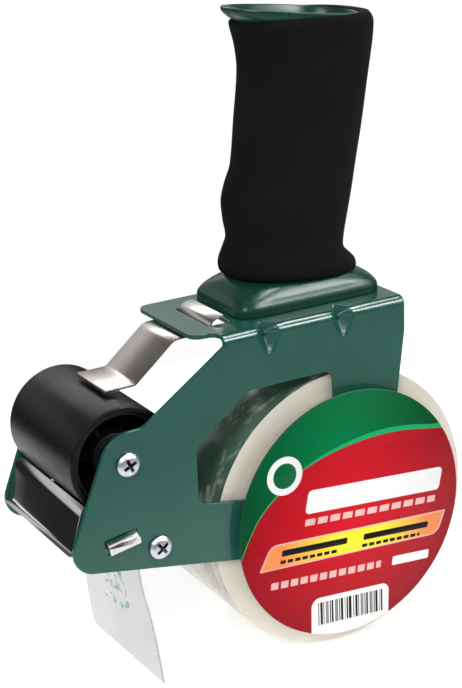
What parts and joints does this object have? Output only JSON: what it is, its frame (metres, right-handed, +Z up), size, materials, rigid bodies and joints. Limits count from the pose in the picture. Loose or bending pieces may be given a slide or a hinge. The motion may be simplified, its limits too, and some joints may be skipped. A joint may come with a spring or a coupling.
{
  "type": "packing tape dispenser",
  "caption": "Hand-held packing-tape gun: side-plate frame, foam-covered handle, roll on a braked hub, roller, sprung wiper and cutting blade.",
  "frame": {"origin": "on the reel axis, in the plane of the label disc's outer face", "axes": "+Z up along the handle side, +Y across the tape from the label disc to the open side, -X towards the cutting head"},
  "size_m": [0.1568, 0.0622, 0.2265],
  "materials": {
    "frame_paint": "semi-gloss bluish dark green enamel on pressed steel",
    "chrome_sheet": "bright nickel-chrome plated sheet",
    "blade_steel": "hard steel strip, ground teeth",
    "zinc_hardware": "bright zinc-plated fasteners, rods and spring",
    "roller_rubber": "smooth satin rubber sleeve",
    "black_plastic": "moulded plastic, fine texture",
    "green_plastic": "glossy dark green moulding",
    "foam_black": "closed-cell foam with a fine open skin",
    "nylon": "natural nylon",
    "core_board": "spiral-wound grey-brown board",
    "wound_film": "clear film wound into a cloudy, faintly ringed roll",
    "clear_film": "thin clear film",
    "label_print": "printed, gloss-coated card disc"
  },
  "bodies": {
    "frame": {"main_frame": "frame_paint", "far_arm": "frame_paint", "blade_guard": "chrome_sheet", "blade_holder": "chrome_sheet", "cutting_blade": "blade_steel", "roller_screw_near": "zinc_hardware", "roller_screw_far": "zinc_hardware", "spacer_screw_near": "zinc_hardware", "spacer_screw_far": "zinc_hardware", "roller_axle": "zinc_hardware", "spacer_rod": "zinc_hardware", "wiper_clip": "chrome_sheet", "handle_core": "green_plastic", "foam_grip": "foam_black", "handle_screw_front": "zinc_hardware", "handle_screw_rear": "zinc_hardware", "hub_axle": "zinc_hardware", "friction_washer": "nylon", "spring_washer": "zinc_hardware", "brake_spring": "zinc_hardware", "hub_cap": "black_plastic", "label_disc": "label_print", "tape_web": "clear_film", "tape_tail": "clear_film"},
    "reel": {"hub": "black_plastic", "tape_core": "core_board", "tape_roll": "wound_film"},
    "roller": {"roller_sleeve": "roller_rubber", "roller_core": "black_plastic", "roller_bush_near": "black_plastic", "roller_bush_far": "black_plastic"},
    "wiper": {"wiper": "chrome_sheet"},
    "brake_knob": {"brake_knob": "black_plastic"}
  },
  "joints": [
    {"name": "reel_spin", "type": "hinge", "parent": "frame", "child": "reel", "pos_m": [0, 0.0303, 0], "axis": [0, 1, 0], "continuous": true},
    {"name": "roller_spin", "type": "hinge", "parent": "frame", "child": "roller", "pos_m": [-0.0836, 0.031, 0.0386], "axis": [0, 1, 0], "continuous": true},
    {"name": "wiper_flex", "type": "hinge", "parent": "frame", "child": "wiper", "pos_m": [-0.055, 0.028, 0.0717], "axis": [0, 1, 0], "range_deg": [0, 12], "stiffness_Nm_per_rad": 0.2, "springref_deg": -2.86},
    {"name": "brake_knob_turn", "type": "hinge", "parent": "frame", "child": "brake_knob", "pos_m": [0, 0.033, 0], "axis": [0, 1, 0], "range_deg": [-180, 180]}
  ],
  "couplings": [
    {"joint": "roller_spin", "follows": "reel_spin", "ratio": 2.773}
  ]
}
